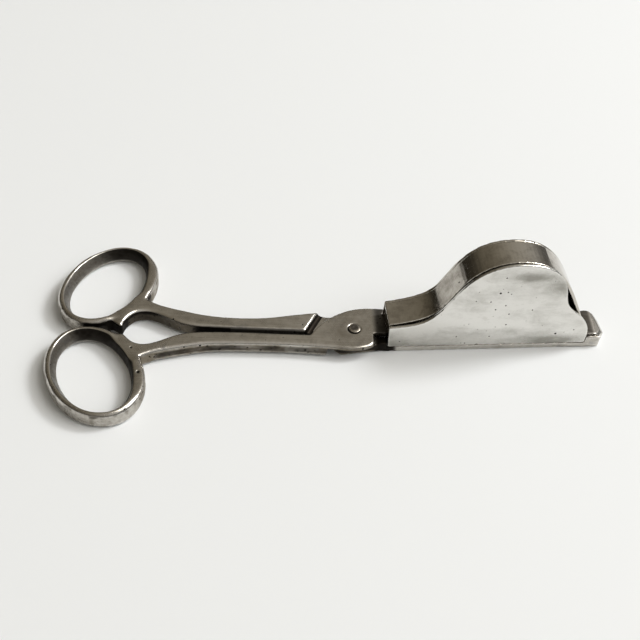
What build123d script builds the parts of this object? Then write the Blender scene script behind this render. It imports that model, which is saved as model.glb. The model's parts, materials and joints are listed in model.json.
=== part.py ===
from build123d import *
import os

# Candle wick trimmer of the scissors kind: two forged steel levers cross at a half-lapped pivot rivet.
# One lever carries a hump-backed snuff box on its jaw. The other carries an upright plate that closes the
# open side of the box, so that a trimmed wick end is pushed into the box and held there.
#
# Working frame, in millimetres: the pivot axis stands at x = 0, the handles' mirror plane is y = 0,
# +X points to the nose, +Y to the box's back, and z = 0 is the surface that the trimmer lies on.

# --- heights ---------------------------------------------------------------------------------------
ring_height = 5.8          # finger rings, from the surface up
arm_bottom = 0.4           # the arms clear the surface
arm_top = 5.3
lap_level = 3.5            # underside of the upper lap
lap_gap = 0.1              # between the two lap faces

# --- finger rings (far ring; the near one is its mirror image) -------------------------------------
ring_centre = (-76.5, 17.5)
ring_outer = (18.1, 13.6)  # half length and half width
ring_outer_lean = 60.0     # long axis, degrees from +X
hole_centre = (-76.8, 17.7)
ring_hole = (15.2, 10.0)
ring_hole_lean = 65.0
ring_round = 1.2

# --- arms ------------------------------------------------------------------------------------------
half_gap = 0.15            # the far handle stops this far short of the mirror plane at its tab
arm_chamfer = 0.65
arm_under_chamfer = 0.5
shoulder_outer = (-10.9, 8.75)     # the far arm's slanted end
shoulder_inner = (-15.0, 0.45)
shoulder_fillet = 1.0              # where that end drops to the lower lap

# --- pivot -----------------------------------------------------------------------------------------
pivot_y = 2.0              # the pivot stands off the handles' mirror plane
rivet_radius = 1.6
rivet_head = (1.95, 0.4, 0.35)     # radius, depth sunk into the upper lap, rise of its dome
head_groove = 0.15                 # open ring round the sunk head
rivet_foot = (2.6, 0.9)            # radius at the underside, and height of its cone
running_clearance = 0.05
press_lap_radius = 8.2
pocket_radius = 11.2       # clears the lower lap and its web as the levers turn
jaw_end_radius = 8.8       # the press jaw's full height starts outside the upper lap's corner

# --- jaws: s runs along the jaws, d across them from the press plate's outer face, z up ------------
jaw_root = (11.2, -2.5)    # where s = 0 and d = 0
jaw_turn = 4.1             # degrees from +X
sheet = 1.0                # the box's sheet steel
plate_thickness = 1.1
side_gap = 0.2             # press plate to the box, and blade to blade
box_depth = 11.4           # d of the back plate's outer face
box_start = -1.4           # s of the roof's end nearest the pivot
end_plate_inset = 0.2
floor_height = 1.6
blade_width = 3.0          # foot of the press jaw, under the box's open side
blade_height = 2.0
root_height = 3.8          # press jaw between the pivot and the plate
tip_height = 4.5           # press jaw beyond the plate
jaw_end = 67.1             # s of the press jaw's tip
blade_end = 60.8
plate_start = -1.0
plate_end = 62.1
nose_start = 61.3
nose_height = 5.0
nose_bevel = 1.0


standing = (Align.CENTER, Align.CENTER, Align.MIN)


def at_pivot(shape):
    return Pos(0, pivot_y, 0) * shape


def slab(face, bottom, top):
    """Straight prism of a face that was drawn at z = 0."""
    return Pos(0, 0, bottom) * extrude(face, amount=top - bottom)


def rim_edges(solid, height):
    """The edges that lie flat at one height."""
    return solid.edges().filter_by_position(Axis.Z, height - 0.001, height + 0.001)


# --- handles ---------------------------------------------------------------------------------------
def finger_ring():
    """Far finger ring: an oval band with a rounded section."""
    outline = Pos(*ring_centre) * Rot(0, 0, ring_outer_lean) * Ellipse(*ring_outer)
    hole = Pos(*hole_centre) * Rot(0, 0, ring_hole_lean) * Ellipse(*ring_hole)
    band = slab(outline - hole, 0, ring_height)
    rims = rim_edges(band, 0) + rim_edges(band, ring_height)
    return fillet(rims, ring_round)


def arm(tab_edge, outer_end, inner_end):
    """Far arm with its octagonal section, from the short tab beside the ring to the pivot.

    tab_edge is the tab's end, from the ring side to the arm side.
    outer_end lists the outer edge's last points.
    """
    tab_outer, tab_inner = tab_edge
    tab_root = (-75.0, 3.0)
    ring_side = (-65.6, 13.0)
    heart = Spline(
        tab_inner,
        (-68.9, 3.9),
        (-67.0, 5.7),
        (-63.8, 6.5),
        (-59.5, 5.3),
        (-54.6, 2.75),
        (-49.0, 1.25),
        (-41.0, 0.65),
        (-30.0, 0.5),
        inner_end,
    )
    outside = Spline(
        ring_side,
        (-60.2, 9.85),
        (-53.0, 7.75),
        (-45.5, 6.05),
        (-37.0, 5.4),
        *outer_end,
    )
    outline = make_face([
        heart,
        outside,
        Line(outside @ 1, inner_end),
        Line(tab_outer, tab_inner),
        Line(tab_root, tab_outer),
        ThreePointArc(tab_root, (-69.7, 8.0), ring_side),
    ])
    solid = slab(outline, arm_bottom, arm_top)
    solid = chamfer(rim_edges(solid, arm_top), arm_chamfer)
    return chamfer(rim_edges(solid, arm_bottom), arm_under_chamfer)


def near_side(shape):
    return mirror(shape, about=Plane.XZ)


# --- pivot -----------------------------------------------------------------------------------------
def upper_lap():
    """The box lever's half of the pivot joint and the neck that runs on to the box."""
    near_rim = Spline(
        (-8.3, -5.72),
        (-0.6, -6.3),
        (4.4, -5.1),
        (6.4, -2.0),
        tangents=[(1, -0.06), (0, 1)],
    )
    neck = Polyline((6.4, -2.0), (6.4, 0.5), (9.7, 0.5), (9.7, 10.9))
    far_rim = Spline(
        (9.7, 10.9),
        (7.0, 10.95),
        (2.1, 10.6),
        (-3.0, 9.0),
        (-8.5, 5.3),
        (-12.9, 0.0),
    )
    arm_end = Polyline((-12.9, 0.0), (-13.6, -1.4), (-8.3, -4.6), (-8.3, -5.72))
    solid = slab(make_face([near_rim, neck, far_rim, arm_end]), lap_level, arm_top)
    near_edge = rim_edges(solid, arm_top).sort_by(Axis.Y)[0]
    return chamfer(near_edge, arm_chamfer)


def arm_pocket():
    """What the lower lap and its web need under the upper lap."""
    return at_pivot(slab(Circle(pocket_radius), 0, lap_level))


def upper_rivet_hole():
    radius, sink, _ = rivet_head
    shank = slab(Circle(rivet_radius), 0, arm_top)
    return at_pivot(shank + slab(Circle(radius + head_groove), arm_top - sink, arm_top))


def press_near_cut():
    """Trims the press lever to its near edge, from the lower lap to the press plate's outer face."""
    edge = Spline((-12.0, -5.1), (-3.0, -4.9), (3.0, -3.8), (11.2, -2.5))
    outside = Polyline((11.2, -2.5), (11.2, -9.0), (-12.0, -9.0), (-12.0, -5.1))
    return slab(make_face([edge, outside]), 0, arm_top)


def lower_lap():
    """The press lever's half of the pivot joint, under the upper lap, with its web to the far arm."""
    top = lap_level - lap_gap
    crown = pivot_y + press_lap_radius
    disc = at_pivot(slab(Circle(press_lap_radius), arm_bottom, top))
    edge = Spline(
        (-17.0, 7.6),
        (-11.2, 8.7),
        (-8.3, 8.1),
        (-4.2, 9.1),
        (0.0, crown),
        tangents=[(1, 0.25), (1, 0)],
    )
    inside = Polyline((0.0, crown), (0.0, 0.0), (-8.0, 0.3), (-17.0, 0.6), (-17.0, 7.6))
    web = slab(make_face([edge, inside]), arm_bottom, top)
    return disc + web - press_near_cut()


def shoulder_foot():
    """Hollow fillet between the far arm's slanted end and the top of the lower lap."""
    inner = Vector(*shoulder_inner)
    along = Vector(*shoulder_outer) - inner
    start = inner + along * 0.06
    length = along.length * 0.94
    r = shoulder_fillet
    buried = -0.05
    corner = closed((buried, buried), (r, buried), (r, 0), (0, r), (buried, r))
    section = corner - Pos(r, r) * Circle(r)
    across = (along.Y, -along.X, 0)
    end_plane = Plane(origin=(start.X, start.Y, lap_level - lap_gap), x_dir=across, z_dir=-along)
    return extrude(end_plane * section, amount=-length)


def lower_rivet_hole():
    """Running fit for the shank and a countersink for the rivet's foot."""
    radius, height = rivet_foot
    bore = rivet_radius + running_clearance
    sink = Cone(radius + running_clearance, bore, height + lap_gap, align=standing)
    return at_pivot(slab(Circle(bore), 0, lap_level) + Pos(0, 0, arm_bottom) * sink)


def pivot_rivet():
    radius, sink, rise = rivet_head
    foot_radius, foot_height = rivet_foot
    foot = Pos(0, 0, arm_bottom) * Cone(foot_radius, rivet_radius, foot_height, align=standing)
    shank = slab(Circle(rivet_radius), arm_bottom, arm_top)
    head = slab(Circle(radius), arm_top - sink, arm_top)
    ball_radius = (radius ** 2 + rise ** 2) / (2 * rise)
    ball = Pos(0, 0, arm_top + rise - ball_radius) * Sphere(ball_radius)
    dome = ball & slab(Circle(radius), arm_top, arm_top + rise)
    return at_pivot(foot + shank + head + dome)


# --- jaws ------------------------------------------------------------------------------------------
def in_jaw_frame(shape):
    """Moves a shape from jaw coordinates to the working frame."""
    return Pos(jaw_root[0], jaw_root[1], 0) * Rot(0, 0, jaw_turn) * shape


def upright(face, near, far):
    """A face drawn as (s, z), stood up and given depth from d = near to d = far."""
    return extrude(Pos(0, near, 0) * Rot(90, 0, 0) * face, amount=far - near, dir=(0, 1, 0))


def closed(*points):
    return make_face(Polyline(*points, close=True))


def panel(left, right, bottom, top):
    """Upright rectangle, from s = left to right and z = bottom to top."""
    return closed((left, bottom), (right, bottom), (right, top), (left, top))


def roof_line():
    """Outer line of the hump-backed roof, from the pivot end to the nose."""
    return Spline(
        (box_start, 10.8),
        (5.0, 12.2),
        (11.6, 15.3),
        (17.4, 25.0),
        (24.5, 33.4),
        (34.0, 36.1),
        (44.0, 33.6),
        (51.4, 26.0),
        (62.9, nose_height),
    )


def box_profile():
    """Everything under the roof line, down to the floor."""
    line = roof_line()
    under = Polyline(line @ 1, (62.9, arm_bottom), (box_start, arm_bottom), line @ 0)
    return make_face([line, under])


def snuff_box_roof():
    """One bent strip of sheet steel from the pivot end over the hump to the nose."""
    line = roof_line()
    spans = 30
    stations = [step / spans for step in range(spans + 1)]
    under = Spline(*[line @ t - sheet * (line % t).rotate(Axis.Z, 90) for t in stations])
    strip = make_face([line, under, Line(line @ 0, under @ 0), Line(line @ 1, under @ 1)])
    strip -= panel(blade_end - 5, jaw_end, 0, nose_height)
    return in_jaw_frame(upright(strip, plate_thickness + side_gap, box_depth - sheet))


def snuff_box_back():
    """The box's far cheek."""
    return in_jaw_frame(upright(box_profile(), box_depth - sheet, box_depth))


def snuff_box_end():
    """Small wall that shuts the box's low end, standing on the box lever's neck."""
    near = plate_thickness + side_gap
    start = box_start + end_plate_inset
    wall = panel(start, start + sheet, arm_top, 10.1)
    foot = panel(start, start + sheet, root_height + side_gap, arm_top)
    both = upright(wall, near, box_depth - sheet) + upright(foot, near, blade_width)
    return in_jaw_frame(both) - snuff_box_roof()


def box_jaw():
    """Floor of the snuff box, with the ramp down from the neck and the pointed nose at the tip."""
    nose_near = plate_thickness + side_gap
    floor_near = blade_width + side_gap
    floor_far = box_depth - sheet
    floor_end = nose_start + 0.5
    ramp = closed(
        (-2.2, 0),
        (-2.2, arm_top),
        (0.5, arm_top),
        (6.0, floor_height),
        (floor_end, floor_height),
        (floor_end, 0),
    )
    nose = closed(
        (nose_start, nose_near),
        (jaw_end, nose_near),
        (69.0, 3.1),
        (68.6, 7.2),
        (67.9, 10.6),
        (66.9, 11.6),
        (63.1, box_depth),
        (63.1, floor_far),
        (nose_start, floor_far),
    )
    nose_block = slab(nose, 0, nose_height)
    tip_edges = rim_edges(nose_block, nose_height).filter_by_position(Axis.X, jaw_end - 1, jaw_end + 2)
    nose_block = chamfer(tip_edges, nose_bevel)
    return in_jaw_frame(upright(ramp, floor_near, floor_far) + nose_block)


def press_jaw():
    """Root block, the blade along the box's open side and the upright tip."""
    outline = closed((0, -6), (jaw_root[0], -6), (jaw_root[0], 0.25), (0, 0.25))
    root_block = slab(outline, arm_bottom, root_height) - press_near_cut()
    root_block -= at_pivot(slab(Circle(jaw_end_radius), lap_level - lap_gap, root_height))
    seat = upright(panel(plate_start, 8, blade_height, 9), -2, 6)
    blade = upright(panel(plate_start - 1.5, blade_end, 0, blade_height), 0, blade_width)
    tip_start = plate_end + 0.1
    tip = upright(panel(tip_start, jaw_end, 0, tip_height), 0, plate_thickness)
    tip_foot = upright(panel(blade_end - 1, tip_start, 0, blade_height), 0, plate_thickness)
    return root_block - in_jaw_frame(seat) + in_jaw_frame(blade + tip + tip_foot)


def press_plate():
    """Hump-backed plate that closes the box; its foot stands on the press jaw's blade."""
    crest = Spline(
        (plate_start - 0.5, 10.4),
        (4.2, 11.2),
        (9.4, 13.0),
        (13.2, 17.0),
        (17.7, 25.2),
        (23.5, 32.3),
        (31.0, 35.7),
        (38.0, 35.8),
        (46.3, 32.4),
        (50.5, 25.6),
        (52.8, 18.8),
        (57.4, 14.3),
        (61.0, 9.6),
        (plate_end, blade_height + 2.6),
    )
    foot = Polyline(crest @ 1, (plate_end, blade_height), (plate_start, blade_height), crest @ 0)
    return in_jaw_frame(upright(make_face([crest, foot]), 0, plate_thickness))


# --- levers ----------------------------------------------------------------------------------------
def box_lever():
    """Near handle, upper lap and the jaw that carries the snuff box."""
    tab = [(-72.2, 2.6), (-69.9, 2.8)]
    outer_end = [(-28.0, 5.2), (-19.0, 5.25), (-7.0, 5.8)]
    handle = near_side(finger_ring() + arm(tab, outer_end, (-7.0, 0.45)))
    solid = handle + upper_lap() + box_jaw()
    return solid - arm_pocket() - upper_rivet_hole() - snuff_box_back()


def press_lever():
    """Far handle, lower lap and the jaw that carries the press plate."""
    tab = [(-71.4, half_gap), (-70.4, half_gap)]
    outer_end = [(-28.0, 5.75), (-19.0, 7.3), shoulder_outer]
    handle = finger_ring() + arm(tab, outer_end, shoulder_inner) + shoulder_foot()
    solid = handle + lower_lap() + press_jaw()
    return solid - lower_rivet_hole() - press_plate()


nodes = {
    "box_lever": box_lever(),
    "press_lever": press_lever(),
    "pivot_rivet": pivot_rivet(),
    "snuff_box_roof": snuff_box_roof(),
    "snuff_box_back": snuff_box_back(),
    "snuff_box_end": snuff_box_end(),
    "press_plate": press_plate(),
}

# The origin is the middle of the whole trimmer's box, on the surface that it lies on.
pieces = [solid for shape in nodes.values() for solid in shape.solids()]
whole = Compound(children=pieces).bounding_box()
middle = ((whole.min.X + whole.max.X) / 2, (whole.min.Y + whole.max.Y) / 2)
print("pivot at", round(-middle[0], 3), round(pivot_y - middle[1], 3))

os.makedirs("parts", exist_ok=True)
for name, shape in nodes.items():
    export_step(Pos(-middle[0], -middle[1], 0) * shape, f"parts/{name}.step")
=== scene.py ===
import bmesh
import bpy
import json
import math
import numpy as np
from mathutils import Matrix, Vector


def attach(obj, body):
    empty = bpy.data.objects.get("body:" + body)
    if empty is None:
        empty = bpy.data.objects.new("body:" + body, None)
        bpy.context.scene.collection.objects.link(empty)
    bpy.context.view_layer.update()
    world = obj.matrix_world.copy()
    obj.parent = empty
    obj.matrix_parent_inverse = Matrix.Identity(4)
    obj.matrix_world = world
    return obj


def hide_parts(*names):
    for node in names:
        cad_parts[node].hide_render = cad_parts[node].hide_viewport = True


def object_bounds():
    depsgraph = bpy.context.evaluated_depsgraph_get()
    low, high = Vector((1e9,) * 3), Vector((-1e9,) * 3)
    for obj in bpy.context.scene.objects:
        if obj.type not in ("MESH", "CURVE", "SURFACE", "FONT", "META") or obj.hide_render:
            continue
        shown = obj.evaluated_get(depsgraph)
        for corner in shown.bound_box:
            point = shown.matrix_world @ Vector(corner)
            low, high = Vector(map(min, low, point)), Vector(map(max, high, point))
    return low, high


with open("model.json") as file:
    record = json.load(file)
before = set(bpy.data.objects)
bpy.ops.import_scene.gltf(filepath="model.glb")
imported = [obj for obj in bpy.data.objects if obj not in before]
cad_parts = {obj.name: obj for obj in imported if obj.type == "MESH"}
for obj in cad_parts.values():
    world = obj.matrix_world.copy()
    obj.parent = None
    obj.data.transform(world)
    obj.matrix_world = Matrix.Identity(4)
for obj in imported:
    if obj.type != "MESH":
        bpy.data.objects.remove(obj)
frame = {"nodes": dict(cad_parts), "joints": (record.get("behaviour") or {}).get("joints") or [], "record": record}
cad_low, cad_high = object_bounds()
MM = 0.001


# --- camera ----------------------------------------------------------------------------------------
EYE = Vector((-26.5, -198.0, 222.1)) * MM    # from the middle of the object's base
VIEW_ANGLES = (46.74, 6.10, 6.33)            # downwards, sideways from +Y, and roll, in degrees
FOCAL_LENGTH = 54.26                         # for a sensor 36 mm wide


def make_camera():
    """Looks down at the object's near side, slightly turned and tilted."""
    down, turn, roll = (math.radians(angle) for angle in VIEW_ANGLES)
    flat = Vector((math.sin(turn), math.cos(turn), 0))
    forward = flat * math.cos(down) + Vector((0, 0, -math.sin(down)))
    level = Vector((math.cos(turn), -math.sin(turn), 0))
    upward = level.cross(forward)
    right = level * math.cos(roll) + upward * math.sin(roll)
    upward = upward * math.cos(roll) - level * math.sin(roll)
    data = bpy.data.cameras.new("camera")
    data.sensor_width = 36
    data.lens = FOCAL_LENGTH
    data.clip_start = 0.01
    camera = bpy.data.objects.new("camera", data)
    middle = (cad_low + cad_high) / 2
    place = Vector((middle.x, middle.y, 0)) + EYE
    turned = Matrix((right, upward, -forward)).transposed().to_4x4()
    camera.matrix_world = Matrix.Translation(place) @ turned
    bpy.context.scene.collection.objects.link(camera)
    bpy.context.scene.camera = camera


make_camera()


# --- node helpers ------------------------------------------------------------------------------------
class Nodes:
    """Short ways to add shader nodes to one tree."""

    def __init__(self, tree):
        self.tree = tree
        self.tree.nodes.clear()

    def add(self, kind, **settings):
        node = self.tree.nodes.new(kind)
        for key, value in settings.items():
            setattr(node, key, value)
        return node

    def feed(self, socket, value):
        if isinstance(value, bpy.types.NodeSocket):
            self.tree.links.new(value, socket)
        elif isinstance(value, tuple) and len(value) == 3 and socket.type == "RGBA":
            socket.default_value = (*value, 1)
        else:
            socket.default_value = value

    def math(self, operation, *values, clamp=False):
        node = self.add("ShaderNodeMath", operation=operation, use_clamp=clamp)
        for socket, value in zip(node.inputs, values):
            self.feed(socket, value)
        return node.outputs[0]

    def fade(self, value, start, end, low=0.0, high=1.0):
        """Smooth step from low to high as value goes from start to end."""
        node = self.add("ShaderNodeMapRange", interpolation_type="SMOOTHSTEP")
        for socket, given in zip(node.inputs, (value, start, end, low, high)):
            self.feed(socket, given)
        return node.outputs[0]

    def mix(self, amount, first, second):
        node = self.add("ShaderNodeMix", data_type="RGBA")
        self.feed(node.inputs[0], amount)
        self.feed(node.inputs[6], first)
        self.feed(node.inputs[7], second)
        return node.outputs[2]

    def noise(self, place, scale, detail=3.0, roughness=0.55, distortion=0.0, stretch=(1, 1, 1)):
        """Noise with features about 1 / scale wide, in metres."""
        mapping = self.add("ShaderNodeMapping")
        mapping.inputs["Scale"].default_value = stretch
        self.feed(mapping.inputs["Vector"], place)
        node = self.add("ShaderNodeTexNoise")
        self.feed(node.inputs["Vector"], mapping.outputs[0])
        node.inputs["Scale"].default_value = scale
        node.inputs["Detail"].default_value = detail
        node.inputs["Roughness"].default_value = roughness
        node.inputs["Distortion"].default_value = distortion
        return node.outputs["Fac"]


# --- light -------------------------------------------------------------------------------------------
def towards(azimuth, elevation):
    """Unit vector; azimuth is degrees from +X towards +Y."""
    a, e = math.radians(azimuth), math.radians(elevation)
    return Vector((math.cos(a) * math.cos(e), math.sin(a) * math.cos(e), math.sin(e)))


def make_world():
    """Soft room light, dim low down and on the left, with a bright patch that the metal reflects.

    The camera sees a plain pale backdrop instead.
    """
    world = bpy.data.worlds.new("room")
    world.use_nodes = True
    bpy.context.scene.world = world
    n = Nodes(world.node_tree)
    direction = n.add("ShaderNodeTexCoord").outputs["Generated"]
    parts = n.add("ShaderNodeSeparateXYZ")
    n.feed(parts.inputs[0], direction)
    x, y, z = parts.outputs
    window_side = n.math("ADD", n.math("MULTIPLY", x, 0.8), n.math("MULTIPLY", y, -0.25))
    side = n.fade(window_side, -0.75, 0.75)
    high = n.fade(z, 0.12, 0.62)
    dim = n.math("ADD", 0.04, n.math("MULTIPLY", side, 0.12))
    extra = n.math("ADD", 0.11, n.math("MULTIPLY", side, 0.33))
    level = n.math("ADD", dim, n.math("MULTIPLY", high, extra))
    tint = n.mix(side, (1.0, 0.88, 0.66), (1.0, 0.99, 0.96))
    glow = n.add("ShaderNodeVectorMath", operation="DOT_PRODUCT")
    n.feed(glow.inputs[0], direction)
    glow.inputs[1].default_value = towards(azimuth=0, elevation=50)
    level = n.math("ADD", level, n.fade(glow.outputs["Value"], 0.885, 0.95, 0, 3.9))
    room = n.add("ShaderNodeBackground")
    n.feed(room.inputs["Color"], tint)
    n.feed(room.inputs["Strength"], level)
    backdrop = n.add("ShaderNodeBackground")
    n.feed(backdrop.inputs["Color"], (0.86, 0.86, 0.84))
    backdrop.inputs["Strength"].default_value = 1.0
    seen = n.add("ShaderNodeLightPath").outputs["Is Camera Ray"]
    choice = n.add("ShaderNodeMixShader")
    n.feed(choice.inputs[0], seen)
    n.feed(choice.inputs[1], room.outputs[0])
    n.feed(choice.inputs[2], backdrop.outputs[0])
    n.feed(n.add("ShaderNodeOutputWorld").inputs[0], choice.outputs[0])


WINDOW_DISTANCE = 1.3
WINDOW_SIDE = 0.26
WINDOW_WATTS = 6.9


def make_window():
    """Square area light behind on the right, facing the object."""
    direction = towards(azimuth=19, elevation=45)
    data = bpy.data.lights.new("window", "AREA")
    data.shape = "SQUARE"
    data.size = WINDOW_SIDE
    data.energy = WINDOW_WATTS
    light = bpy.data.objects.new("window", data)
    light.location = direction * WINDOW_DISTANCE
    light.rotation_euler = direction.to_track_quat("Z", "Y").to_euler()
    light.visible_camera = False
    bpy.context.scene.collection.objects.link(light)


def make_floor():
    """Plain pale sheet, a hair below the object so that the two faces don't coincide."""
    mesh = bpy.data.meshes.new("floor")
    reach = 3.0
    corners = [(-reach, -reach, 0), (reach, -reach, 0), (reach, reach, 0), (-reach, reach, 0)]
    mesh.from_pydata(corners, [], [(0, 1, 2, 3)])
    floor = bpy.data.objects.new("floor", mesh)
    floor.location.z = -0.02 * MM
    bpy.context.scene.collection.objects.link(floor)
    material = bpy.data.materials.new("floor")
    material.use_nodes = True
    n = Nodes(material.node_tree)
    paint = n.add("ShaderNodeBsdfPrincipled")
    paint.inputs["Base Color"].default_value = (0.79, 0.81, 0.83, 1)
    paint.inputs["Roughness"].default_value = 0.7
    n.feed(n.add("ShaderNodeOutputMaterial").inputs[0], paint.outputs[0])
    mesh.materials.append(material)


make_world()
make_floor()
make_window()


# --- worn meshes -------------------------------------------------------------------------------------
def smooth_step(value, start, end):
    t = np.clip((value - start) / (end - start), 0, 1)
    return t * t * (3 - 2 * t)


def band(value, rise, fall):
    """0 to 1 as value crosses rise, and back to 0 as it crosses fall; each is (start, end)."""
    return smooth_step(value, *rise) * (1 - smooth_step(value, *fall))


def circular_mean(values, width):
    """Mean over a number of neighbours, for values that run round a circle."""
    shifts = range(-(width // 2), width // 2 + 1)
    return sum(np.roll(values, shift) for shift in shifts) / width


def opening_centre(name):
    """Middle of one of the record's openings, in millimetres."""
    for opening in frame["record"]["physics"]["openings"]:
        if opening["name"] == name:
            return np.array(opening["box_m"]).mean(0) / MM
    raise KeyError(name)


def away_from(centre, place):
    """Level unit vectors from a centre to each place, and the distances."""
    outward = place - centre
    outward[:, 2] = 0
    reach = np.linalg.norm(outward, axis=1)
    return outward / reach[:, None], reach


ARM_TOP = 5.3        # height of the arms' flat tops
WIDEST_BAND = 5.0    # a finger ring's band is narrower than this where nothing joins it
RING_SECTORS = 180   # directions from a finger hole's centre in which its band is measured
CROWN = 1.1          # the band's crown lies this far from its inner edge, in half widths
OUTER_ROUND = 0.45   # how far the band's outer top is rounded, where its inner side is 1


class Skin:
    """A finely remeshed copy of a CAD node, in millimetres, that can be worn, dented and given pits, with a mask
    that also takes painted shade.
    """

    def __init__(self, node, voxel):
        self.node = node
        self.voxel = voxel
        rough = bmesh.new()
        rough.from_mesh(frame["nodes"][node].data)
        bmesh.ops.remove_doubles(rough, verts=rough.verts, dist=0.002 * MM)
        mesh = bpy.data.meshes.new(node + "_rough")
        rough.to_mesh(mesh)
        rough.free()
        self.piece = bpy.data.objects.new(node + "_worn", mesh)
        bpy.context.scene.collection.objects.link(self.piece)
        remesh = self.piece.modifiers.new("remesh", "REMESH")
        remesh.mode = "VOXEL"
        remesh.voxel_size = voxel * MM
        graph = bpy.context.evaluated_depsgraph_get()
        self.mesh = bpy.data.meshes.new_from_object(self.piece.evaluated_get(graph), depsgraph=graph)
        self.piece.modifiers.clear()
        self.piece.data = self.mesh
        bpy.data.meshes.remove(mesh)
        self.count = len(self.mesh.vertices)
        place = np.empty(self.count * 3)
        self.mesh.vertices.foreach_get("co", place)
        self.place = place.reshape(-1, 3) / MM
        ends = np.empty(len(self.mesh.edges) * 2, np.int32)
        self.mesh.edges.foreach_get("vertices", ends)
        self.first, self.second = ends.reshape(-1, 2).T
        self.degree = np.bincount(ends, minlength=self.count)[:, None]
        self.pits_and_shade = np.zeros(self.count)
        self.low, self.high = self.place.min(0), self.place.max(0)

    def around(self, values):
        """Mean of each vertex's neighbours, for values of shape (count, columns)."""
        total = np.empty_like(values)
        for k in range(values.shape[1]):
            there = np.bincount(self.first, values[self.second, k], self.count)
            back = np.bincount(self.second, values[self.first, k], self.count)
            total[:, k] = there + back
        return total / self.degree

    def spread(self, values, rounds):
        """Blurs one value per vertex over the surface."""
        column = values[:, None]
        for _ in range(rounds):
            column = 0.5 * (column + self.around(column))
        return column[:, 0]

    def soften(self, rounds):
        """Rounds the edges off."""
        for _ in range(rounds):
            self.place += 0.5 * (self.around(self.place) - self.place)

    def normals(self):
        self.mesh.vertices.foreach_set("co", (self.place * MM).ravel())
        self.mesh.update()
        normal = np.empty(self.count * 3)
        self.mesh.vertex_normals.foreach_get("vector", normal)
        return normal.reshape(-1, 3)

    def waves(self, length, seed, squeeze=(1, 1, 1)):
        """Smooth random relief, about -1 to 1, with bumps about one length long.

        squeeze below 1 on an axis makes the bumps longer along it.
        """
        random = np.random.default_rng(seed)
        total = np.zeros(self.count)
        ripples = 16
        for _ in range(ripples):
            direction = random.normal(size=3)
            direction /= np.linalg.norm(direction)
            direction *= np.array(squeeze) * random.uniform(0.6, 1.6) * math.tau / length
            total += np.sin(self.place @ direction + random.uniform(0, math.tau))
        return total / math.sqrt(ripples)

    def measure_band(self, reach, turn):
        """The hole's radius, half the band's width and how far it is joined to an arm or a tab.

        All three are for each vertex's own direction. The band's height comes last.
        """
        sector = turn.astype(int) % RING_SECTORS
        hole = np.full(RING_SECTORS, np.inf)
        np.minimum.at(hole, sector, reach)
        near = reach < hole[sector] + WIDEST_BAND
        rim = np.zeros(RING_SECTORS)
        np.maximum.at(rim, sector[near], reach[near])
        joined = smooth_step(rim - hole, WIDEST_BAND - 1.2, WIDEST_BAND - 0.4)
        half = np.minimum(rim - hole, WIDEST_BAND - 1) / 2
        middles = np.arange(RING_SECTORS) + 0.5
        smooth = (circular_mean(values, 7) for values in (hole, half, joined))
        found = [np.interp(turn, middles, values, period=RING_SECTORS) for values in smooth]
        return *found, self.place[near, 2].max()

    def round_band(self, centre, lean):
        """Rounds the section of the band round a finger hole, more on the inside than on the outside.

        The inner wall leans outwards at the top. Where an arm or a tab leaves the band the section stays
        nearly square, and the value returned is 1 on the flat that joins them.
        """
        outward, reach = away_from(centre, self.place)
        turn = np.arctan2(outward[:, 1], outward[:, 0]) / math.tau % 1 * RING_SECTORS
        hole, half, joined, top = self.measure_band(reach, turn)
        crown = hole + CROWN * half
        half = half * np.where(reach < crown, CROWN, 2 - CROWN)
        across = np.clip((reach - crown) / half, -1, 1)
        up = np.clip(2 * self.place[:, 2] / top - 1, -1, 1)
        bend = 1 - joined * np.where(across > 0, 1, 0.85)
        bend *= np.where(across > 0, OUTER_ROUND * smooth_step(up, 0, 0.5), 1)
        rounder = across * np.sqrt(1 - bend * up ** 2 / 2)
        flatter = up * np.sqrt(1 - bend * across ** 2 / 2)
        lean = lean * np.clip(-across, 0, 1) * smooth_step(up, -0.6, 1)
        self.place += outward * ((rounder - across) * half + lean)[:, None]
        self.place[:, 2] += (flatter - up) * top / 2
        self.place[:, 2] -= 0.9 * joined * np.maximum(self.place[:, 2] - ARM_TOP, 0)
        return joined * smooth_step(across, -0.9, -0.4)

    def round_tip(self, start, long, drop):
        """Slopes the top of what lies past start down towards the tip."""
        past = self.place[:, 0] > start
        top = self.place[past, 2].max()
        slope = np.clip((self.place[:, 0] - self.high[0] + long) / long, 0, 1) ** 2
        self.place[:, 2] -= drop * slope * past * smooth_step(self.place[:, 2], 0.3 * top, top)

    def sink(self, depth):
        """Moves the surface inwards; never outwards, so that the gaps to other bodies stay."""
        self.place -= self.normals() * np.maximum(depth, 0)[:, None]

    def pit(self, spots):
        """Small corrosion pits: spots is a list of (point, radius, depth)."""
        depth = np.zeros(self.count)
        for point, radius, deep in spots:
            away = np.linalg.norm(self.place - np.array(point), axis=1) / radius
            dish = np.clip(1 - away ** 2, 0, 1) ** 1.5
            depth = np.maximum(depth, deep * dish)
            self.pits_and_shade = np.maximum(self.pits_and_shade, dish)
        self.sink(depth)

    def random_spots(self, number, seed, radius, depth, where=None):
        """Pits of up to this radius and depth, at random or only where a mask holds."""
        random = np.random.default_rng(seed)
        choice = np.flatnonzero(where) if where is not None else np.arange(self.count)
        picked = random.choice(choice, number)
        sizes = random.uniform(0.5, 1.0, number) ** 2
        return [(self.place[i], radius * size, depth * size) for i, size in zip(picked, sizes)]

    def edges(self):
        """1 on convex edges, and -1 in hollow corners."""
        bend = (self.around(self.place) - self.place) * self.normals()
        bend = bend.sum(1) / self.voxel
        return np.clip(self.spread(-bend, 2) / 0.1, -1, 1)

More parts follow.
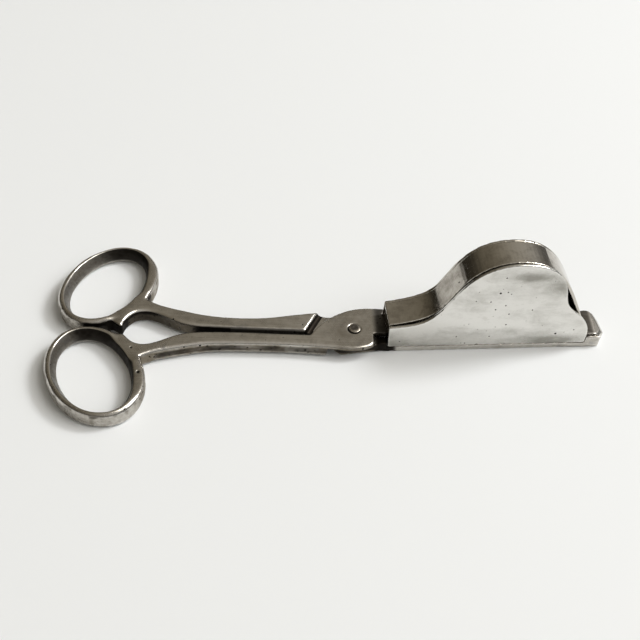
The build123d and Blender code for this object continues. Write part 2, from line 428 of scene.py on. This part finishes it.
    def finish(self, body, material, dullness):
        """Writes the mesh and its masks, and puts the piece in the CAD node's place."""
        self.place = np.clip(self.place, self.low, self.high)
        self.normals()
        # These masks carry painted shade and highlights too, not only pits and patina.
        masks = {"edge": self.edges(), "pit": self.pits_and_shade, "dullness": dullness}
        for name, values in masks.items():
            attribute = self.mesh.attributes.new(name, "FLOAT", "POINT")
            attribute.data.foreach_set("value", values.astype(np.float32))
        self.mesh.materials.clear()
        self.mesh.materials.append(material)
        self.mesh.shade_smooth()
        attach(self.piece, body)
        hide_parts(self.node)


# --- steel -------------------------------------------------------------------------------------------
# Near-black for pits and painted shade.
PIT_AND_SHADE_COLOUR = (0.018, 0.015, 0.012)


def steel(name, bright, aged, stain, grain, polish, clouding, brushed=(0.05, 1, 1), flow=(1, 1, 1)):
    """Worn steel: bright where it is rubbed, aged where it isn't, with stains, brush marks and pits; its masks
    also carry painted highlights, reflections and shade.

    grain and clouding are how much brush marks and clouds change the age. polish is the roughness where
    bright and where aged. brushed and flow stretch the brush marks and the clouds, where below 1.
    """
    material = bpy.data.materials.new(name)
    material.use_nodes = True
    n = Nodes(material.node_tree)
    place = n.add("ShaderNodeTexCoord").outputs["Object"]
    edge = n.add("ShaderNodeAttribute", attribute_name="edge").outputs["Fac"]
    pit = n.add("ShaderNodeAttribute", attribute_name="pit").outputs["Fac"]
    dullness = n.add("ShaderNodeAttribute", attribute_name="dullness").outputs["Fac"]
    clouds = n.noise(place, 110, detail=5, roughness=0.6, stretch=flow)
    blotches = n.noise(place, 260, detail=4, roughness=0.65, distortion=0.6, stretch=flow)
    speckle = n.noise(place, 1500, detail=3, roughness=0.6)
    marks = n.noise(place, 1400, detail=3, roughness=0.7, stretch=brushed)
    age = n.math("ADD", dullness, n.math("MULTIPLY", n.math("SUBTRACT", clouds, 0.5), clouding))
    age = n.math("ADD", age, n.math("MULTIPLY", n.math("SUBTRACT", blotches, 0.5), 0.6 * clouding))
    age = n.math("ADD", age, n.math("MULTIPLY", n.math("SUBTRACT", marks, 0.5), grain))
    age = n.math("ADD", age, n.math("MULTIPLY", n.math("SUBTRACT", speckle, 0.5), 0.25))
    # Convex edges brighten as rubbed wear; hollow corners, where the edge mask is below 0, darken as painted
    # shade.
    age = n.math("SUBTRACT", age, n.math("MULTIPLY", edge, 0.55), clamp=True)
    colour = n.mix(age, bright, aged)
    colour = n.mix(n.fade(blotches, 0.56, 0.74, 0, 0.5), colour, stain)
    # The pit mask holds pits and painted shade; both darken towards near-black.
    dark = n.fade(pit, 0.1, 0.6)
    colour = n.mix(dark, colour, PIT_AND_SHADE_COLOUR)
    shader = n.add("ShaderNodeBsdfPrincipled")
    shader.inputs["Metallic"].default_value = 1
    n.feed(shader.inputs["Base Color"], colour)
    rough = n.fade(age, 0, 1, *polish)
    rough = n.math("ADD", rough, n.math("MULTIPLY", n.math("SUBTRACT", speckle, 0.5), 0.12))
    rough = n.math("ADD", rough, n.math("MULTIPLY", dark, 0.3))
    n.feed(shader.inputs["Roughness"], rough)
    relief = n.math("ADD", n.math("MULTIPLY", marks, 0.5), n.math("MULTIPLY", speckle, 0.5))
    bump = n.add("ShaderNodeBump")
    bump.inputs["Strength"].default_value = 0.25
    bump.inputs["Distance"].default_value = 0.03 * MM
    n.feed(bump.inputs["Height"], relief)
    n.feed(shader.inputs["Normal"], bump.outputs[0])
    n.feed(n.add("ShaderNodeOutputMaterial").inputs[0], shader.outputs[0])
    return material


lever_steel = steel(
    "lever_steel",
    bright=(0.60, 0.575, 0.535),
    aged=(0.195, 0.168, 0.128),
    stain=(0.28, 0.28, 0.285),
    grain=0.95,
    polish=(0.19, 0.4),
    clouding=1.2,
)
box_steel = steel(
    "box_steel",
    bright=(0.58, 0.55, 0.50),
    aged=(0.20, 0.175, 0.145),
    stain=(0.36, 0.33, 0.29),
    grain=0.35,
    polish=(0.08, 0.3),
    clouding=2.0,
    brushed=(1, 0.1, 1),
)
plate_steel = steel(
    "plate_steel",
    bright=(0.74, 0.725, 0.69),
    aged=(0.32, 0.31, 0.28),
    stain=(0.56, 0.545, 0.505),
    grain=0.25,
    polish=(0.14, 0.34),
    clouding=1.5,
    brushed=(0.08, 1, 0.6),
    flow=(0.5, 1, 1),
)


# --- levers ------------------------------------------------------------------------------------------
PIVOT = np.array(frame["joints"][0]["pos_m"]) / MM
TAB_END = PIVOT[0] - 81             # x where the two tabs between the rings end
FORK_START = PIVOT[0] - 75          # x where the eye-shaped fork between the arms starts
RING_END = PIVOT[0] - 62            # x where the rings give way to the arms
FORK_END = PIVOT[0] - 38            # x where the fork has closed to the gap between the arms
SHOULDER = (PIVOT[0] - 15, 0.45)    # x, y of the near end of the far arm's slanted shoulder
SHOULDER_LEAN = (0.9, -0.44)        # level direction that the shoulder faces
GAP_END = PIVOT[0] - 11             # x where the gap between the arms ends at the shoulder
LAP_STEP = PIVOT[0] - 8             # x where the near arm's lower half ends, beside the disc
NECK_START = PIVOT[0] + 5.5         # x where the flat neck to the box starts
DISC_END = PIVOT[0] + 9             # x where the disc ends beside the neck
NOSE_START = PIVOT[0] + 68          # x where the nose leaves the box


class Zones:
    """Where each vertex of a worn lever lies, and how it faces. Zones go from 0 to 1."""

    def __init__(self, skin, centre, on_ring, joined, seed):
        self.x, self.y, self.z = skin.place.T
        normal = skin.normals()
        outward, _ = away_from(centre, skin.place)
        self.forward, self.up = normal[:, 0], normal[:, 2]
        self.sideways = np.sign(self.y) * normal[:, 1]    # 1 where it faces away from the other lever
        self.from_hole = (normal * outward).sum(1)        # 1 away from the finger hole, -1 into it
        self.upright = 1 - smooth_step(np.abs(self.up), 0.3, 0.75)
        self.hollow = skin.spread(np.clip(-skin.edges(), 0, 1), 3)
        self.on_ring = on_ring
        self.joined = joined
        self.inner = smooth_step(-self.from_hole, 0.36, 0.8) * on_ring
        self.not_inner = self.upright * (1 - self.inner)
        self.blotchy = np.clip(skin.waves(4.5, seed + 5), 0, 1)
        self.mottled = np.clip(0.85 + 0.15 * skin.waves(5, seed + 4, squeeze=(0.5, 1, 1)), 0, 1)
        neck = smooth_step(self.x, NECK_START + 2, NECK_START + 6)
        self.on_arm = np.maximum(1 - on_ring, joined) * (1 - neck)
        self.on_disc = smooth_step(self.x, PIVOT[0] - 12, PIVOT[0] - 4) * self.on_arm
        beside_arm = (self.x > RING_END + 2) * (self.x < LAP_STEP)
        self.outer_side = self.upright * (self.sideways > 0.3) * beside_arm
        self.on_nose = smooth_step(self.x, NOSE_START, NOSE_START + 2)
        self.on_tip = smooth_step(self.x, skin.high[0] - 4.5, skin.high[0] - 2)


def ring_patina_and_reflection(zones):
    """Dull, dirty walls; painted reflection on the crown, dark outside and a painted highlight on the slope on its
    inner side; painted shade on the hole's inner walls.
    """
    crest = zones.on_ring * (1 - zones.joined) * smooth_step(zones.up, 0.55, 0.85)
    slope = 1 - smooth_step(zones.from_hole, -0.35, -0.12)
    # Painted reflection on the crown: dark on the outer part, a highlight on the inner slope.
    crown = 0.42 * smooth_step(zones.from_hole, -0.12, 0.1) - 0.28 * slope
    wall = (0.25 + 0.45 * zones.blotchy) * zones.on_ring * zones.not_inner
    return wall + crest * crown + 0.3 * zones.joined + 0.5 * zones.inner * zones.on_ring


def arm_patina_and_highlight(zones):
    """Dull sides with a painted highlight along the lower edge, bright bevels, and a smudge beside the rivet."""
    bevel = band(zones.up, (0.3, 0.55), (0.85, 0.95)) * (1 - zones.on_disc)
    # Painted highlight along the lower edge of the outer sides.
    lower_edge_highlight = zones.outer_side * (1 - smooth_step(zones.z, 1.0, 1.4))
    from_smudge = ((zones.x - PIVOT[0] + 5) / 4) ** 2 + ((zones.y - PIVOT[1] + 1.5) / 3) ** 2
    dullness = zones.on_arm * (-0.08 + 0.66 * zones.upright - 0.65 * bevel)
    return dullness + zones.on_disc * (0.2 + 0.35 * np.exp(-from_smudge)) - 0.55 * lower_edge_highlight


def nose_sheen_and_shade(zones):
    """Painted dark reflection on top, and a painted highlight at the tip."""
    dull = 0.45 * smooth_step(zones.up, 0.3, 0.8) - 0.1
    return zones.on_nose * (dull - 0.5 * zones.on_tip * (zones.up > 0.3))


def ring_painted_shade(zones):
    """Painted shade: dark insides, less where they face the window; a dark painted reflection line below the
    crown; and shade between the two tabs.
    """
    # Less painted shade on inner walls that face the window.
    less_where_facing_window = 1 - 0.35 * smooth_step(zones.forward, 0.2, 0.8)
    inside_shade = 0.55 * zones.inner * less_where_facing_window * smooth_step(zones.z, 0.8, 2.2)
    # Painted shade between the two tabs.
    tabs = 1 - smooth_step(np.abs(zones.y), 2.6, 3.8)
    tabs = tabs * smooth_step(zones.x, TAB_END - 3, TAB_END)
    # Painted reflection: a dark line below the crown.
    reflected_line_below_crown = (0.16 + 0.2 * zones.blotchy) * smooth_step(zones.z, 3.2, 4.4)
    return inside_shade + zones.on_ring * zones.not_inner * (0.5 * tabs + reflected_line_below_crown)


def arm_painted_shade(zones):
    """Painted shade in the gap and the fork between the arms, on their outer sides, under the disc and on the
    shoulder.
    """
    x, y, z = zones.x, zones.y, zones.z
    in_gap = (1 - smooth_step(np.abs(y), 0.9, 1.6)) * (zones.up < 0.9) * (x > RING_END) * (x < GAP_END)
    in_fork = (zones.sideways < -0.2) * (np.abs(y) < 14) * (x > FORK_START) * (x < FORK_END)
    fork_depth = 0.38 - 0.2 * smooth_step(x, RING_END + 4, RING_END + 12)
    outer = zones.outer_side * zones.mottled * band(z, (1.3, 1.9), (3.6, 4.2))
    under_disc = zones.upright * (y < PIVOT[1] - 3.5) * (x > LAP_STEP) * (x < DISC_END)
    under_disc = under_disc * band(z, (0.9, 1.5), (3.7, 4.4))
    past_shoulder = SHOULDER_LEAN[0] * (x - SHOULDER[0]) + SHOULDER_LEAN[1] * (y - SHOULDER[1])
    at_shoulder = (past_shoulder > -0.4) * (past_shoulder < 1.6) * (y > 0) * (z > 3)
    at_shoulder = at_shoulder * (1 - smooth_step(z, 4.3, 5.0))
    painted_shade = 0.45 * in_gap + fork_depth * in_fork * zones.not_inner + 0.44 * outer
    return painted_shade + 0.52 * under_disc + 0.6 * at_shoulder


def wear_lever(node, ring, body, seed, box_shadow_depth, tip_drop, pits):
    """ring is the name of the opening in the lever's finger ring. The value after seed is how dark the painted
    shadow of the box on the neck is.

    tip_drop is how far the top of the nose slopes down at its tip. pits are (point, radius, depth).
    """
    skin = Skin(node, voxel=0.25)
    centre = opening_centre(ring)
    on_ring = smooth_step(skin.place[:, 0], RING_END + 6, RING_END - 3)
    joined = skin.round_band(centre, lean=0.5)
    skin.round_tip(NOSE_START + 2, long=6, drop=tip_drop)
    skin.soften(7)
    skin.place += skin.normals() * (0.1 * on_ring)[:, None]
    skin.sink(0.05 * (1 + skin.waves(11, seed)) * (0.4 + 0.6 * on_ring))
    skin.sink(0.012 * (1 + skin.waves(2.5, seed + 1)))
    zones = Zones(skin, centre, on_ring, joined, seed)
    # Patina, together with painted highlights, reflections and shade; hollow corners darken as painted shade.
    dullness = 0.12 + ring_patina_and_reflection(zones) + arm_patina_and_highlight(zones) + nose_sheen_and_shade(zones) + 0.4 * zones.hollow
    # Painted dark reflection on the nose's top.
    nose_top = zones.on_nose * smooth_step(zones.up, 0.5, 0.8) * (1 - zones.on_tip)
    painted_shade = ring_painted_shade(zones) + arm_painted_shade(zones) + 0.48 * nose_top + 0.6 * zones.hollow
    # Painted shadow of the box's end, on the neck beside it.
    box_shadow = box_shadow_depth * band(zones.x, (NECK_START - 1.5, NECK_START + 2), (NECK_START + 6, NECK_START + 9))
    # Painted shade and shadow go into the pit mask.
    skin.pits_and_shade = np.clip(np.maximum(painted_shade, box_shadow), 0, 1)
    on_side = (zones.upright > 0.6) & (zones.on_arm > 0.5)
    spots = skin.random_spots(46, seed + 2, radius=0.4, depth=0.1)
    spots += skin.random_spots(90, seed + 3, radius=0.5, depth=0.12, where=on_side)
    skin.pit(pits + spots)
    skin.finish(body, lever_steel, skin.spread(dullness, 3))


wear_lever(
    "box_lever",
    "near_finger_ring_middle",
    "box_half",
    seed=11,
    box_shadow_depth=0.48,
    tip_drop=1.1,
    pits=[
        ((-58.1, -18.1, 5.7), 0.75, 0.3),
        ((-76.7, -31.3, 5.3), 0.5, 0.2),
        ((-65.6, -32.6, 5.4), 0.5, 0.2),
        ((-75.2, -3.6, 5.6), 0.6, 0.2),
        ((-61.1, -8.6, 5.3), 0.5, 0.2),
    ],
)
wear_lever(
    "press_lever",
    "far_finger_ring_middle",
    "press_half",
    seed=21,
    box_shadow_depth=0.6,
    tip_drop=0,
    pits=[],
)


# --- rivet -------------------------------------------------------------------------------------------
def wear_rivet():
    """A flat head with a shallow dish in its middle; the dish is darkened, and a dark ring round the head is
    painted shade that stands for a groove.
    """
    skin = Skin("pivot_rivet", voxel=0.12)
    from_axis = np.linalg.norm(skin.place[:, :2] - PIVOT[:2], axis=1)
    on_head = skin.place[:, 2] > skin.high[2] - 0.6
    dish = 0.15 * (1 - smooth_step(from_axis, 0, 1.5))
    skin.place[:, 2] -= dish * on_head
    skin.soften(4)
    skin.sink(0.02 * (1 + skin.waves(1.6, 5)))
    groove = smooth_step(from_axis, 1.7, 1.9)
    # Painted shade: the middle of the head and a ring round it are darkened.
    skin.pits_and_shade = 0.46 * (1 - smooth_step(from_axis, 1.0, 1.7)) + 0.5 * groove
    skin.finish("box_half", lever_steel, np.full(skin.count, 0.9))


wear_rivet()


# --- box ---------------------------------------------------------------------------------------------
def wear_box(node, voxel, seed, dullness, spots):
    """patina is how dull the sheet is, and spots how many pits it has."""
    skin = Skin(node, voxel)
    skin.soften(3)
    skin.sink(0.03 * (1 + skin.waves(14, seed)))
    skin.pit(skin.random_spots(spots, seed + 1, radius=0.4, depth=0.08))
    # Painted reflection: darker where the roof sweeps up.
    painted_reflection_where_roof_sweeps_up = band(skin.place[:, 0], (25, 27), (32, 34))
    skin.finish("box_half", box_steel, dullness + 0.22 * painted_reflection_where_roof_sweeps_up)


wear_box("snuff_box_roof", voxel=0.17, seed=31, dullness=0.18, spots=14)
wear_box("snuff_box_back", voxel=0.22, seed=41, dullness=0.2, spots=40)
wear_box("snuff_box_end", voxel=0.22, seed=51, dullness=0.5, spots=0)


# --- plate -------------------------------------------------------------------------------------------
PLATE_SLOPE = math.tan(math.radians(4.1))    # the plate's face is turned this much from +X towards +Y


def wear_plate():
    """Bright plate with grey smears, painted reflection of the floor's shadow, painted shade on its top edge, and
    pits. s runs along its face from its low end, and z is up.
    """
    skin = Skin("press_plate", voxel=0.19)
    skin.soften(12)
    skin.sink(0.02 * (1 + skin.waves(18, 61)))
    left, face, _ = skin.low

    def dull_patch(s, z, long, high, amount):
        across = (skin.place[:, 0] - left - s) / long
        return amount * np.exp(-(across ** 2) - ((skin.place[:, 2] - z) / high) ** 2)

    def pit(s, z, radius, depth):
        return (left + s, face + s * PLATE_SLOPE, z), radius, depth

    # The patches at s 34 and s 53 are painted reflection of the floor's shadow; the others are smears.
    dullness = 0.06 + dull_patch(0, 3, 9, 4, 0.7) + dull_patch(40, 31, 7, 2.2, 1.0) + dull_patch(50, 27, 7, 3.5, 0.7)
    dullness += dull_patch(53, 3.5, 9, 2.3, 1.4) + dull_patch(17, 2.2, 6, 0.8, 0.6) + dull_patch(34, 8, 12, 1.6, 0.4)
    # Painted shade on the plate's top edge.
    top_edge_shade = smooth_step(skin.normals()[:, 2], 0.2, 0.6)
    dullness += 0.4 * top_edge_shade
    big = [(31.5, 24.8), (28.5, 2.2), (52.9, 6.5)]
    small = [
        (32.0, 31.1), (29.3, 21.2), (33.7, 25.1), (34.2, 19.5), (31.4, 17.8), (36.0, 15.8), (36.1, 11.1),
        (42.9, 17.4), (58.4, 8.1), (37.5, 2.2), (31.9, 5.9), (21.5, 6.0), (24.7, 3.0),
    ]
    spots = [pit(s, z, 0.5, 0.25) for s, z in big] + [pit(s, z, 0.32, 0.15) for s, z in small]
    skin.pit(spots + skin.random_spots(50, seed=62, radius=0.3, depth=0.05))
    skin.finish("press_half", plate_steel, dullness)


wear_plate()

bpy.context.scene.view_settings.view_transform = "Standard"
